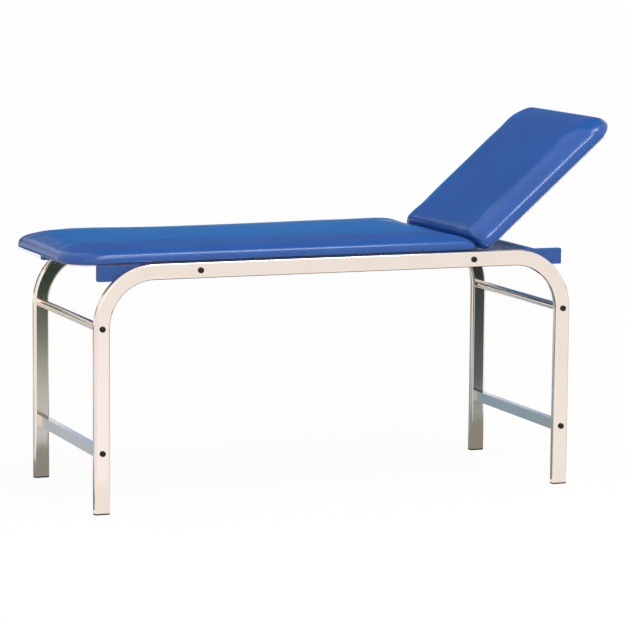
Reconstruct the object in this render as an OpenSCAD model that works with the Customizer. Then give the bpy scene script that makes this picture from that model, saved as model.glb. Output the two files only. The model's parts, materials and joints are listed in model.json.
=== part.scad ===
// Examination table: two bent-tube side frames, a padded lying surface and a headrest that tilts on a prop.
// +X runs from the foot end to the head end, +Y across the table, +Z up, with the floor at zero.

/* [Side frames] */
// Distance between the leg centres of one side frame
leg_spacing = 1394; // [1200:1:1600]
// Height of the top rail's upper face above the floor
frame_h = 691; // [640:1:800]
// Outside width over the two side frames
table_w = 606; // [560:1:700]
// Tube size in the plane of the frame
tube_w = 45; // [36:1:48]
// Tube size across the table
tube_t = 25; // [22:1:34]
// Tube wall
tube_wall = 2; // [1.2:0.1:2.5]
// Rounding of the tube's edges
tube_round = 7; // [3.5:0.5:8]
// Bend radius at the tube's centre line
bend_r = 152; // [100:1:170]

/* [Crossbars] */
// Depth of the round upper crossbars below the top rails' upper faces
upper_bar_drop = 175; // [173:1:250]
// Height of the flat lower crossbars
lower_bar_z = 171; // [100:1:300]
// Diameter of the upper crossbars
upper_bar_d = 25; // [18:1:30]
// Height of the lower crossbars' section
lower_bar_h = 31; // [24:1:40]
// Thickness of the lower crossbars' section
lower_bar_t = 20; // [18:1:30]
// Wall of all crossbars
bar_wall = 1.5; // [1:0.1:2]
// Depth of the threaded inserts in the crossbars' ends
insert_depth = 26; // [20:1:40]

/* [Bolts and caps] */
// Bolt shank diameter
bolt_d = 8; // [6:1:8]
// Bolt head diameter
bolt_head_d = 13; // [11:0.5:14]
// Bolt head height
bolt_head_h = 3.6; // [3:0.1:5]
// How far a bolt reaches past the frame tube
bolt_reach = 20; // [15:1:24]
// Diameter of the black cover caps
cap_d = 16.5; // [16:0.5:20]
// Height of the black cover caps
cap_h = 5.6; // [5.5:0.1:8]
// Distance of the bolts in the top rails from the leg centres
rail_bolt_setback = 284; // [200:1:400]

/* [Feet] */
// Height of the foot flange under the tube
foot_flange = 4; // [2:0.5:8]
// Depth of the foot plug inside the leg
foot_plug_depth = 32; // [20:1:50]
// Wall of the hollow foot plug
foot_plug_wall = 3; // [2:0.5:4]

/* [Bed frame] */
// Depth of the boards below the top rails' upper faces
bed_drop = 3; // [0:0.5:3.5]
// Reach of the blue side rails past the leg centres
rail_reach = 3; // [0:1:30]
// Height of the blue rails
rail_h = 45; // [40:1:60]
// Thickness of the side rails
rail_t = 25; // [20:1:30]
// Thickness of the cross rails
cross_t = 22; // [18:1:26]
// Rounding of the rails' long edges
rail_round = 3; // [1:0.5:5]
// Setback of the foot cross rail from the side rails' foot end
foot_cross_inset = 144; // [100:1:300]

/* [Lying surface] */
// Reach of the main pad past the foot-end leg centres
foot_overhang = 98; // [60:1:200]
// How far the pads' sides reach over the side frames' tubes
pad_overlap = 6.5; // [2:0.5:7]
// Thickness of the main pad at the crown
main_pad_h = 48.5; // [40:0.5:60]
// Thickness of the head pad at the crown
head_pad_h = 59; // [50:1:64]
// Width of the rounded edge seen from above
pad_edge = 40; // [30:1:45]
// Corner rounding of the main pad's foot end seen from above
foot_corner_r = 104; // [24:1:110]
// Corner rounding of both pads' hinge ends seen from above
hinge_corner_r = 28; // [26:1:60]
// How far the sides are drawn in between the corners
side_draw = 0.5; // [0:0.5:8]
// How far the main pad's top falls towards the hinge
hinge_fall = 5.5; // [4:0.5:14]
// Thickness of the plywood boards
board_t = 12; // [9:1:18]
// Distance from a pad's outline to its board's edge
board_inset = 16; // [13:1:20]

/* [Headrest] */
// Length of the head pad
head_len = 541; // [400:1:640]
// Corner rounding of the head pad seen from above
head_corner_r = 66; // [30:1:80]
// Angle of the headrest as it stands
rest_angle = 41; // [0:1:44]
// Distance of the hinge axis from the head-end leg centres
hinge_setback = 223; // [200:1:250]
// Depth of the hinge axis below the boards
hinge_drop = 14; // [13:0.5:16]
// How far the head pad reaches past the hinge axis
head_lead = 4; // [0:0.5:6]
// Distance from the main pad to the hinge axis
main_gap = 15; // [14.5:0.5:20]
// Distance of each hinge from the side rail beside it
hinge_inset = 63; // [40:1:100]
// Pin diameter of the hinges and the prop
pin_d = 8; // [6:0.5:8]

/* [Prop and rack] */
// Distance from the hinge axis to the prop's pivot
prop_len = 167; // [160:1:172]
// Distance from the head cross rail to the prop's pivot
prop_seat = 14; // [14:1:18]
// Distance from the rear side rail to the prop's middle
prop_inset = 143; // [143:1:160]
// Distance between the middles of the prop's two arms
prop_w = 112; // [90:1:160]
// Width of the prop's flat arms
arm_w = 16; // [14:1:18]
// Thickness of the prop's flat arms
arm_t = 4; // [3:0.5:5]
// Diameter of the prop's top bar
prop_bar_d = 8; // [6:0.5:8]
// Thickness of the notched rack bars
rack_t = 8; // [5:0.5:10]
// Distance between the two rack bars
rack_spacing = 60; // [40:1:66]
// Depth of the rack's notches
notch_depth = 4.5; // [3:0.5:5]

/* [Hidden] */
$fn = 48;

// Clearances and the overrun of all cuts
over = 1;
fit_gap = 0.1;
run_gap = 0.05;
side_gap = 0.4;
rest_gap = 0.5;
bolt_hole_gap = 0.2;

// Side frame places
leg_x = leg_spacing / 2;
rail_z = frame_h - tube_w / 2;
frame_y = table_w / 2 - tube_t / 2;
inner_y = table_w / 2 - tube_t;
rail_bolt_x = leg_x - rail_bolt_setback;
upper_bar_z = frame_h - upper_bar_drop;
leg_spots = [for (sx = [-1, 1], z = [upper_bar_z, lower_bar_z]) [sx * leg_x, z]];
rail_spots = [for (sx = [-1, 1]) [sx * rail_bolt_x, rail_z]];
bolt_hole_d = bolt_d + 2 * bolt_hole_gap;

// Bed frame places
bed_z = frame_h - bed_drop;
rail_len = leg_spacing + 2 * rail_reach;
hinge_x = leg_x - hinge_setback;
prop_x = hinge_x + prop_len;
rail_mid_z = bed_z - rail_h / 2;
rail_inner_y = inner_y - rail_t;
pad_w = 2 * (inner_y + pad_overlap);
foot_cross_x = -rail_len / 2 + foot_cross_inset;
head_cross_x = prop_x - prop_seat - cross_t / 2;
hinge_cross_gap = 26;
hinge_cross_x = hinge_x - hinge_cross_gap - cross_t / 2;
middle_cross_x = (foot_cross_x + hinge_cross_x) / 2;
cross_places = [foot_cross_x, middle_cross_x, hinge_cross_x, head_cross_x];
hinge_screw_shift = 6;
board_screw_places = [foot_cross_x, middle_cross_x, hinge_cross_x - hinge_screw_shift];
tee_barrel_d = 10;
tee_barrel_l = 11;
tee_flange_d = 20;
tee_flange_t = 1.5;
bracket_leg = 30;
bracket_w = 20;
bracket_t = 2;
bracket_screw_at = 19;
screw_d = 4;
screw_head_d = 7.5;
screw_head_h = 2.4;
screw_l = 12;
board_screw_inset = 103;
board_screw_y = rail_inner_y - board_screw_inset;
board_screw_d = 5;
board_screw_head_d = 9;
board_screw_head_h = 3;
board_screw_bite = 8;

// Pads: each row gives the inset as a share of pad_edge, the height as a share of the pad's own,
// the inset of the main pad's hinge end, which leans back to let the headrest swing,
// and the inset of the head pad's hinge end, which is nearly square
pad_profile_shares = [
    [0.30, 0, 0.30, 0.24], [0.02, 0.09, 0.36, 0.12], [0, 0.20, 0.43, 0.02], [0, 0.36, 0.50, 0],
    [0.06, 0.50, 0.58, 0.04], [0.17, 0.63, 0.71, 0.10], [0.36, 0.74, 0.90, 0.15], [0.62, 0.83, 1.2, 0.19],
    [1.05, 0.895, 1.7, 0.30], [1.8, 0.945, 2.5, 0.50], [3.2, 0.98, 3.8, 0.90], [4.8, 0.995, 5, 2]
];
foot_rim_share = 0.02;
crown_steps = len(pad_profile_shares);
main_draws = [side_draw, 0];
head_draws = [0, side_draw];
corner_steps = 8;
long_steps = 12;
short_steps = 7;
fall_reach = 170;
board_hinge_inset = board_inset + 6;
main_x = -leg_x - foot_overhang;
main_len = hinge_x - main_gap - main_x;

// Hinge, prop and rack places
hinge_z = bed_z + rest_gap - hinge_drop;
hinge_y = rail_inner_y - hinge_inset;
ear_r = 8;
ear_t = 4;
lug_t = 6;
lug_plate_t = 3;
lug_plate_l = 40;
lug_plate_w = 26;
bracket_plate_t = 3;
bracket_plate_h = 2 * (bed_z - hinge_z - side_gap);
pin_head_d = 12;
pin_head_t = 2;
pin_over = 2.5;
lug_screw_at = [12, 30];
lug_screw_y = 8;
prop_y = rail_inner_y - prop_inset;
bar_reach = 2 * prop_len;
head_stop_angle = 45;
stop_angles = [0, 20, 31, 41];
rack_low = prop_bar_d / 2 + side_gap;
rack_margin = 12;
rack_start = bar_reach * cos(head_stop_angle) - rack_margin;
rack_end = bar_reach + rack_margin;
rack_l = rack_end - rack_start;
rack_tab = 14;
rack_tab_t = 3;

// The model is centred over its footprint, pads and raised headrest included
function turned_x(p, angle) = p.x * cos(angle) - p.z * sin(angle);
head_tips = [for (p = head_pad_points()) turned_x([p.x, p.y, p.z + hinge_drop], rest_angle)];
head_tip_x = hinge_x + max(head_tips);
middle_x = (main_x + head_tip_x) / 2;

module placed() {
    translate([-middle_x, 0, 0]) children();
}

module on_head() {
    placed() translate([hinge_x, 0, hinge_z]) rotate([0, -rest_angle, 0]) children();
}

module on_prop() {
    placed() translate([prop_x, prop_y, hinge_z]) rotate([0, -2 * rest_angle, 0]) children();
}

module chrome() color([0.86, 0.85, 0.83]) children();
module steel() color([0.62, 0.63, 0.65]) children();
module blue() color([0.12, 0.30, 0.62]) children();
module wood() color([0.72, 0.56, 0.36]) children();
module black() color([0.06, 0.06, 0.06]) children();

// A rod along Y, centred on its place
module cross_rod(d, l) {
    rotate([90, 0, 0]) cylinder(h = l, d = d, center = true);
}

module rounded_rect(a, b, r) {
    square([a - 2 * r, b], center = true);
    square([a, b - 2 * r], center = true);
    for (sx = [-1, 1], sy = [-1, 1])
        translate([sx * (a / 2 - r), sy * (b / 2 - r)]) circle(r = r);
}

// Half of the bent tube as a full bar, shrunk all round by the given wall
module half_tube(shrink) {
    a = tube_w - 2 * shrink;
    b = tube_t - 2 * shrink;
    r = tube_round - shrink;
    extra = shrink > 0 ? over : 0;
    straight_h = rail_z - bend_r - foot_flange;
    translate([leg_x, 0, foot_flange - extra])
        linear_extrude(straight_h + extra) rounded_rect(a, b, r);
    translate([leg_x - bend_r, 0, rail_z - bend_r]) rotate([90, 0, 0])
        rotate_extrude(angle = 90, $fn = 96) translate([bend_r, 0]) rounded_rect(a, b, r);
    translate([0, 0, rail_z]) rotate([0, 90, 0])
        linear_extrude(leg_x - bend_r) rounded_rect(a, b, r);
}

module bent_tube(shrink) {
    half_tube(shrink);
    mirror([1, 0, 0]) half_tube(shrink);
}

module side_frame(side) {
    placed() chrome() translate([0, side * frame_y, 0]) difference() {
        bent_tube(0);
        bent_tube(tube_wall);
        for (p = concat(leg_spots, rail_spots))
            translate([p[0], 0, p[1]]) cross_rod(bolt_hole_d, tube_t + 2 * over);
    }
}

module side_frame_front() side_frame(-1);
module side_frame_rear() side_frame(1);

module upper_crossbar(side) {
    placed() chrome() translate([side * leg_x, 0, upper_bar_z]) difference() {
        cross_rod(upper_bar_d, 2 * inner_y);
        cross_rod(upper_bar_d - 2 * bar_wall, 2 * inner_y + 2 * over);
    }
}

module upper_crossbar_foot() upper_crossbar(-1);
module upper_crossbar_head() upper_crossbar(1);

module lower_crossbar(side) {
    placed() chrome() translate([side * leg_x, 0, lower_bar_z]) difference() {
        cube([lower_bar_t, 2 * inner_y, lower_bar_h], center = true);
        cube([lower_bar_t - 2 * bar_wall, 2 * (inner_y + over), lower_bar_h - 2 * bar_wall], center = true);
    }
}

module lower_crossbar_foot() lower_crossbar(-1);
module lower_crossbar_head() lower_crossbar(1);

// Threaded inserts in both ends of each crossbar
module crossbar_inserts() {
    hole_d = bolt_d + 2 * run_gap;
    slip = 2 * bar_wall + 2 * fit_gap;
    placed() steel() for (sx = [-1, 1], sy = [-1, 1])
        translate([sx * leg_x, sy * (inner_y - insert_depth / 2), 0]) {
            translate([0, 0, upper_bar_z]) difference() {
                cross_rod(upper_bar_d - slip, insert_depth);
                cross_rod(hole_d, insert_depth + 2 * over);
            }
            translate([0, 0, lower_bar_z]) difference() {
                cube([lower_bar_t - slip, insert_depth, lower_bar_h - slip], center = true);
                cross_rod(hole_d, insert_depth + 2 * over);
            }
        }
}

// Places children at every bolt, with local +Z pointing out of the table
module at_bolts() {
    for (side = [-1, 1], p = concat(leg_spots, rail_spots))
        translate([p[0], side * table_w / 2, p[1]]) rotate([-side * 90, 0, 0]) children();
}

module frame_bolts() {
    socket_share = 0.36;
    inside = tube_t + bolt_reach;
    placed() steel() at_bolts() difference() {
        union() {
            cylinder(h = bolt_head_h, d = bolt_head_d);
            translate([0, 0, -inside]) cylinder(h = inside + bolt_head_h / 2, d = bolt_d);
        }
        translate([0, 0, bolt_head_h / 2])
            cylinder(h = bolt_head_h, d = bolt_head_d * socket_share, $fn = 6);
    }
}

// Domed plastic covers pressed over the bolt heads
module bolt_caps() {
    rim_share = 0.6;
    rim_h = cap_h * rim_share;
    rise = cap_h - rim_h;
    dome_r = (pow(cap_d / 2, 2) + pow(rise, 2)) / (2 * rise);
    placed() black() at_bolts() difference() {
        intersection() {
            cylinder(h = cap_h, d = cap_d);
            translate([0, 0, cap_h - dome_r]) sphere(r = dome_r);
        }
        translate([0, 0, -over]) cylinder(h = bolt_head_h + over + fit_gap, d = bolt_head_d + 2 * fit_gap);
    }
}

// Plastic plugs in the legs, with a flange that meets the floor
module foot_plugs() {
    slip = tube_wall + fit_gap;
    a = tube_w - 2 * slip;
    b = tube_t - 2 * slip;
    r = tube_round - slip;
    placed() black() for (sx = [-1, 1], sy = [-1, 1])
        translate([sx * leg_x, sy * frame_y, 0]) difference() {
            union() {
                linear_extrude(foot_flange) rounded_rect(tube_w, tube_t, tube_round);
                linear_extrude(foot_flange + foot_plug_depth) rounded_rect(a, b, r);
            }
            translate([0, 0, foot_flange]) linear_extrude(foot_plug_depth + over)
                square([a - 2 * foot_plug_wall, b - 2 * foot_plug_wall], center = true);
        }
}

// A bar of the rails' section along X, with rounded long edges
module long_board(l, t) {
    rotate([90, 0, 90]) linear_extrude(l, center = true) rounded_rect(t, rail_h, rail_round);
}

// Places children on the inner side of both rails' bolts, with local +Z pointing to the middle of the table
module at_rail_bolts(side) {
    for (p = rail_spots)
        translate([p[0], side * rail_inner_y, p[1]]) rotate([side * 90, 0, 0]) children();
}

// Places children at both screws of a bracket beside each cross rail, with local +Z out of the wood
module at_side_screws(side) {
    for (x = cross_places)
        translate([x + cross_t / 2 + bracket_screw_at, side * (rail_inner_y - bracket_t), rail_mid_z])
            rotate([side * 90, 0, 0]) children();
}

module at_cross_screws(x) {
    for (side = [-1, 1])
        translate([x + cross_t / 2 + bracket_t, side * (rail_inner_y - bracket_screw_at), rail_mid_z])
            rotate([0, 90, 0]) children();
}

module screw_hole() {
    translate([0, 0, -screw_l - fit_gap]) cylinder(h = screw_l + fit_gap + over, d = screw_d + 2 * fit_gap);
}

module small_screw() {
    cylinder(h = screw_head_h, d1 = screw_head_d, d2 = screw_d);
    translate([0, 0, -screw_l]) cylinder(h = screw_l + screw_head_h / 2, d = screw_d);
}

module side_rail(side) {
    placed() blue() difference() {
        translate([0, side * (inner_y - rail_t / 2), rail_mid_z]) long_board(rail_len, rail_t);
        at_rail_bolts(side) {
            translate([0, 0, -rail_t - over]) cylinder(h = rail_t + 2 * over, d = bolt_hole_d);
            translate([0, 0, -tee_barrel_l])
                cylinder(h = tee_barrel_l + over, d = tee_barrel_d + 2 * fit_gap);
        }
        at_side_screws(side) screw_hole();
    }
}

module side_rail_front() side_rail(-1);
module side_rail_rear() side_rail(1);

// Flanged nuts on the inner faces of the side rails
module rail_tee_nuts() {
    placed() steel() for (side = [-1, 1]) at_rail_bolts(side) difference() {
        union() {
            translate([0, 0, -tee_barrel_l]) cylinder(h = tee_barrel_l, d = tee_barrel_d);
            cylinder(h = tee_flange_t, d = tee_flange_d);
        }
        translate([0, 0, -tee_barrel_l - over])
            cylinder(h = tee_barrel_l + tee_flange_t + 2 * over, d = bolt_d + 2 * run_gap);
    }
}

// Places children on the main board's screws under the cross rails, with local +Z down
module at_board_screws() {
    for (x = board_screw_places, sy = [-1, 1])
        translate([x, sy * board_screw_y, bed_z - rail_h]) rotate([180, 0, 0]) children();
}

module board_screw_body(gap) {
    cut = gap > 0 ? over : 0;
    translate([0, 0, -rail_h - board_screw_bite - gap])
        cylinder(h = rail_h + board_screw_bite + gap, d = board_screw_d + 2 * gap);
    translate([0, 0, -board_screw_head_h - gap])
        cylinder(h = board_screw_head_h + gap + cut, d = board_screw_head_d + 2 * gap);
}

module cross_rail(x) {
    placed() blue() difference() {
        translate([x, 0, rail_mid_z]) rotate([90, 0, 0])
            linear_extrude(2 * rail_inner_y, center = true) rounded_rect(cross_t, rail_h, rail_round);
        at_cross_screws(x) screw_hole();
        at_board_screws() board_screw_body(fit_gap);
    }
}

module cross_rail_foot() cross_rail(foot_cross_x);
module cross_rail_middle() cross_rail(middle_cross_x);
module cross_rail_hinge() cross_rail(hinge_cross_x);
module cross_rail_head() cross_rail(head_cross_x);

// Steel angles in the corners between the cross rails and the side rails
module rail_brackets() {
    placed() steel() for (x = cross_places, side = [-1, 1]) difference() {
        translate([x + cross_t / 2, side * rail_inner_y, rail_mid_z]) {
            translate([bracket_leg / 2, -side * bracket_t / 2, 0])
                cube([bracket_leg, bracket_t, bracket_w], center = true);
            translate([bracket_t / 2, -side * bracket_leg / 2, 0])
                cube([bracket_t, bracket_leg, bracket_w], center = true);
        }
        at_side_screws(side) screw_hole();
        at_cross_screws(x) screw_hole();
    }
}

module bracket_screws() {
    placed() steel() {
        for (side = [-1, 1]) at_side_screws(side) small_screw();
        for (x = cross_places) at_cross_screws(x) small_screw();
    }
}

// A plywood board under a pad, or with a gap the space that holds it
module board_plate(l, r_first, r_last, last_inset, draws, gap) {
    inset = board_inset - gap;
    cut = gap > 0 ? over : 0;
    rim = outline(inset, l - last_inset + gap, pad_w / 2 - inset, r_first - inset, r_last - inset, draws);
    translate([0, 0, -cut]) linear_extrude(board_t + cut) polygon(rim);
}

module main_board_plate(gap) {
    translate([main_x, 0, bed_z])
        board_plate(main_len, foot_corner_r, hinge_corner_r, board_hinge_inset, main_draws, gap);
}

module head_board_plate(gap) {
    translate([-head_lead, 0, hinge_drop])
        board_plate(head_len, hinge_corner_r, head_corner_r, board_inset, head_draws, gap);
}

module main_board() {
    placed() wood() difference() {
        main_board_plate(0);
        at_board_screws() board_screw_body(fit_gap);
    }
}

module main_board_screws() {
    placed() steel() at_board_screws() board_screw_body(0);
}

// Points of a rounded outline, counter-clockwise from above, with its sides drawn in
// and its first and last end drawn in by the two given draws
function corner_arc(x, y, r, from) =
    [for (i = [0:corner_steps]) let (a = from + 90 * i / corner_steps) [x + r * cos(a), y + r * sin(a)]];

function drawn_side(p, q, steps, draw) =
    [for (i = [1:steps - 1]) let (t = i / steps, d = (q - p) / norm(q - p))
        p + (q - p) * t + [-d.y, d.x] * draw * sin(180 * t)];

function outline(x0, x1, h, r0, r1, draws) = concat(
    corner_arc(x1 - r1, -h + r1, r1, -90), drawn_side([x1, -h + r1], [x1, h - r1], short_steps, draws[1]),
    corner_arc(x1 - r1, h - r1, r1, 0), drawn_side([x1 - r1, h], [x0 + r0, h], long_steps, side_draw),
    corner_arc(x0 + r0, h - r0, r0, 90), drawn_side([x0, h - r0], [x0, -h + r0], short_steps, draws[0]),
    corner_arc(x0 + r0, -h + r0, r0, 180), drawn_side([x0 + r0, -h], [x1 - r1, -h], long_steps, side_draw));

// One point of a pad's ring, drawn in from the outline; the half beside the hinge has insets of its own,
// and past the frames' bends the main pad's sides go straight down to a full rim
function ring_point(p, l, row, is_main) =
    let (m = l / 2, dx = p.x - m, at_hinge = is_main ? dx > 0 : dx < 0)
    let (at_rim = is_main && row[1] == 0 && p.x < foot_corner_r + over)
    let (share = at_rim ? foot_rim_share : row[0])
    let (inset_x = pad_edge * (at_hinge ? (is_main ? row[2] : row[3]) : share))
    [p.x - inset_x * dx / m, p.y - pad_edge * share * p.y / (pad_w / 2)];

// The fall of the main pad's top towards the hinge, rising with the square of the way into its reach
function end_fall(x, l, is_main) = is_main ? hinge_fall * pow(max(0, 1 - (l - x) / fall_reach), 2) : 0;

function pad_points(l, h, rim, is_main) = concat(
    [for (row = pad_profile_shares, p = rim)
        let (q = ring_point(p, l, row, is_main)) [q.x, q.y, row[1] * (h - end_fall(q.x, l, is_main))]],
    [[l / 2, 0, 0], [l / 2, 0, h]]);

function pad_faces(n) =
    let (floor_mid = n * crown_steps, top_mid = floor_mid + 1, last = n * (crown_steps - 1))
    concat(
        [for (i = [0:n - 1]) [floor_mid, i, (i + 1) % n]],
        [for (i = [0:n - 1]) [top_mid, last + (i + 1) % n, last + i]],
        [for (k = [0:crown_steps - 2], i = [0:n - 1], half = [0, 1])
            let (a = k * n + i, b = k * n + (i + 1) % n, c = a + n, d = b + n)
            half == 0 ? [a, c, d] : [a, d, b]]);

module main_pad() {
    rim = outline(0, main_len, pad_w / 2, foot_corner_r, hinge_corner_r, main_draws);
    placed() blue() difference() {
        translate([main_x, 0, bed_z])
            polyhedron(points = pad_points(main_len, main_pad_h, rim, true), faces = pad_faces(len(rim)));
        main_board_plate(fit_gap);
    }
}

function head_rim() = outline(0, head_len, pad_w / 2, hinge_corner_r, head_corner_r, head_draws);
function head_pad_points() =
    [for (p = pad_points(head_len, head_pad_h, head_rim(), false)) [p.x - head_lead, p.y, p.z]];

module head_pad() {
    on_head() blue() difference() {
        translate([0, 0, hinge_drop])
            polyhedron(points = head_pad_points(), faces = pad_faces(len(head_rim())));
        head_board_plate(fit_gap);
    }
}

// Clevises on the hinge cross rail, with their ears round the hinge axis
module clevis(reach, gap) {
    plate_w = gap + 2 * ear_t;
    difference() {
        union() {
            for (sy = [-1, 1]) translate([0, sy * (gap / 2 + ear_t / 2), 0]) {
                cross_rod(2 * ear_r, ear_t);
                translate([-reach / 2, 0, 0]) cube([reach, ear_t, 2 * ear_r], center = true);
            }
            translate([-reach + bracket_plate_t / 2, 0, 0])
                cube([bracket_plate_t, plate_w, bracket_plate_h], center = true);
        }
        cross_rod(pin_d + 2 * run_gap, plate_w + 2 * over);
    }
}

module hinge_brackets() {
    placed() steel() for (sy = [-1, 1]) translate([hinge_x, sy * hinge_y, hinge_z])
        clevis(hinge_cross_gap, lug_t + 2 * side_gap);
}

module headed_pin(grip) {
    shank = grip + 2 * pin_over;
    cross_rod(pin_d, shank);
    for (sy = [-1, 1]) translate([0, sy * (grip / 2 + side_gap + pin_head_t / 2), 0])
        cross_rod(pin_head_d, pin_head_t);
}

module hinge_pins() {
    placed() steel() for (sy = [-1, 1]) translate([hinge_x, sy * hinge_y, hinge_z])
        headed_pin(lug_t + 2 * side_gap + 2 * ear_t);
}

// Places children at the screws of the hinge lugs and rack bars, with local +Z away from the head board
module at_lug_screws() {
    for (sy = [-1, 1], x = lug_screw_at)
        translate([board_inset - head_lead + x, sy * (hinge_y + lug_screw_y), hinge_drop - lug_plate_t])
            rotate([180, 0, 0]) children();
}

module hinge_lugs() {
    plate_x = board_inset - head_lead + fit_gap;
    plate_z = hinge_drop - lug_plate_t;
    web_end = plate_x + lug_plate_l / 2;
    on_head() steel() difference() {
        for (sy = [-1, 1]) translate([0, sy * hinge_y, 0]) {
            cross_rod(2 * ear_r, lug_t);
            rotate([90, 0, 0]) linear_extrude(lug_t, center = true)
                polygon([[0, -ear_r], [plate_x, -ear_r / 2], [web_end, plate_z], [plate_x, plate_z],
                    [0, ear_r]]);
            translate([plate_x, -lug_plate_w / 2, plate_z])
                cube([lug_plate_l, lug_plate_w, lug_plate_t]);
        }
        for (sy = [-1, 1]) translate([0, sy * hinge_y, 0]) cross_rod(pin_d + 2 * run_gap, lug_t + 2 * over);
        at_lug_screws() screw_hole();
    }
}

module at_rack_screws() {
    for (sy = [-1, 1], x = [rack_start - rack_tab / 2, rack_end + rack_tab / 2])
        translate([x, prop_y + sy * rack_spacing / 2, hinge_drop - rack_tab_t])
            rotate([180, 0, 0]) children();
}

module head_board() {
    on_head() wood() difference() {
        head_board_plate(0);
        at_lug_screws() screw_hole();
        at_rack_screws() screw_hole();
    }
}

// Notched bars under the head board, one notch for each stop of the headrest
module rack_bars() {
    on_head() steel() difference() {
        for (sy = [-1, 1]) translate([0, prop_y + sy * rack_spacing / 2 - rack_t / 2, 0]) {
            translate([rack_start, 0, rack_low]) cube([rack_l, rack_t, hinge_drop - rack_low]);
            translate([rack_start - rack_tab, 0, hinge_drop - rack_tab_t])
                cube([rack_l + 2 * rack_tab, rack_t, rack_tab_t]);
        }
        for (angle = stop_angles) translate([bar_reach * cos(angle), prop_y, rack_low])
            cross_rod(2 * notch_depth, rack_spacing + rack_t + 2 * over);
        at_rack_screws() screw_hole();
    }
}

module head_screws() {
    on_head() steel() {
        at_lug_screws() small_screw();
        at_rack_screws() small_screw();
    }
}

module prop_brackets() {
    placed() steel() for (sy = [-1, 1]) translate([prop_x, prop_y + sy * prop_w / 2, hinge_z])
        clevis(prop_seat, arm_t + 2 * side_gap);
}

module prop_pins() {
    placed() steel() for (sy = [-1, 1]) translate([prop_x, prop_y + sy * prop_w / 2, hinge_z])
        headed_pin(arm_t + 2 * side_gap + 2 * ear_t);
}

module prop_arms() {
    on_prop() steel() for (sy = [-1, 1]) translate([0, sy * prop_w / 2, 0]) difference() {
        union() {
            for (x = [0, prop_len]) translate([x, 0, 0]) cross_rod(arm_w, arm_t);
            translate([0, -arm_t / 2, -arm_w / 2]) cube([prop_len, arm_t, arm_w]);
        }
        cross_rod(pin_d + 2 * run_gap, arm_t + 2 * over);
        translate([prop_len, 0, 0]) cross_rod(prop_bar_d + 2 * run_gap, arm_t + 2 * over);
    }
}

module prop_bar() {
    on_prop() steel() translate([prop_len, 0, 0]) cross_rod(prop_bar_d, prop_w + arm_t + 2 * pin_over);
}

side_frame_front();
side_frame_rear();
upper_crossbar_foot();
upper_crossbar_head();
lower_crossbar_foot();
lower_crossbar_head();
crossbar_inserts();
frame_bolts();
bolt_caps();
foot_plugs();
side_rail_front();
side_rail_rear();
cross_rail_foot();
cross_rail_middle();
cross_rail_hinge();
cross_rail_head();
rail_tee_nuts();
rail_brackets();
bracket_screws();
main_board();
main_board_screws();
main_pad();
hinge_brackets();
hinge_pins();
hinge_lugs();
head_board();
head_pad();
rack_bars();
head_screws();
prop_brackets();
prop_arms();
prop_bar();
prop_pins();
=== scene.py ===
"""Finishes an examination table: chrome tube frames, blue vinyl pads on plywood, and a studio whose
glowing cards paint the reflections in the chrome and the vinyl.
"""

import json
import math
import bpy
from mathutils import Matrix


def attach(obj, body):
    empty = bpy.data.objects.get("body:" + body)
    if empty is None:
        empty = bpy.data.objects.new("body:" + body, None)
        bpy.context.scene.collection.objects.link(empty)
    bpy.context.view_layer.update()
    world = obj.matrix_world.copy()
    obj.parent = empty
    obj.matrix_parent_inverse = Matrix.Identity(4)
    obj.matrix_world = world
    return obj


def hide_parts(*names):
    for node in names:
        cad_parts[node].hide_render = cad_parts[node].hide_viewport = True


bl_info = {
    "name": "Examination Table",
    "version": (1, 0, 0),
    "blender": (4, 5, 0),
    "location": "View3D > Sidebar > Exam Table",
    "description": "Upholsters and finishes an examination table with a tilting headrest",
    "category": "Object",
}

import bmesh
import bpy
from bpy.props import FloatProperty, FloatVectorProperty, IntProperty, PointerProperty
from mathutils import Matrix, Vector
from mathutils.bvhtree import BVHTree

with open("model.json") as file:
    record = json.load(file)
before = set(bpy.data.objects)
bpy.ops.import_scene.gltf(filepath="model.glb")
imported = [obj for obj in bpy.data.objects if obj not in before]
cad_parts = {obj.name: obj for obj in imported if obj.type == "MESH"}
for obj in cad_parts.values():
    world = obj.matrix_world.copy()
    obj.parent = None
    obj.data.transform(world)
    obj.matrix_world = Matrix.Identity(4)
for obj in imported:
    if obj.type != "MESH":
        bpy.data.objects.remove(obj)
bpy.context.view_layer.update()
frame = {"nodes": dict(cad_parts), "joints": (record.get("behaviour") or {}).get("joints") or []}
NODES = frame["nodes"]
HEAD_JOINT = next(j for j in frame["joints"] if j["name"] == "head_tilt")

# The headrest's own flat frame: its hinge axis, and the angle at which it stands
HINGE = Vector(HEAD_JOINT["pos_m"])
HEAD_ANGLE = math.radians(-HEAD_JOINT["range_deg"][0])
HEAD_FLAT = (
    Matrix.Translation(HINGE) @ Matrix.Rotation(HEAD_ANGLE, 4, "Y") @ Matrix.Translation(-HINGE)
)
MAIN_FLAT = Matrix.Identity(4)

MM = 0.001
MERGE = 0.00001

# A pad's cover as cloth, and the share of a mesh cell above its flat bottom that is held
CLOTH_QUALITY = 6
CLOTH_MASS = 0.4
CLOTH_STRETCH = 22
CLOTH_SHEAR = 8
CLOTH_BEND = 1.2
CLOTH_HELD = 0.6

# Making a pad: height over which its sides become fuller, rounds that even out the foam's push,
# subdivisions of its solid's skin and of its finished cover, and fold that still makes a quad
PLUMP_REACH = 14 * MM
EVENING_ROUNDS = 8
SKIN_ROUNDING = 2
COVER_ROUNDING = 1
QUAD_FOLD = math.radians(50)

# Width and height of a staple's crown
STAPLE_WIDTH = 1.1 * MM
STAPLE_HEIGHT = 0.24 * MM

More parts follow.
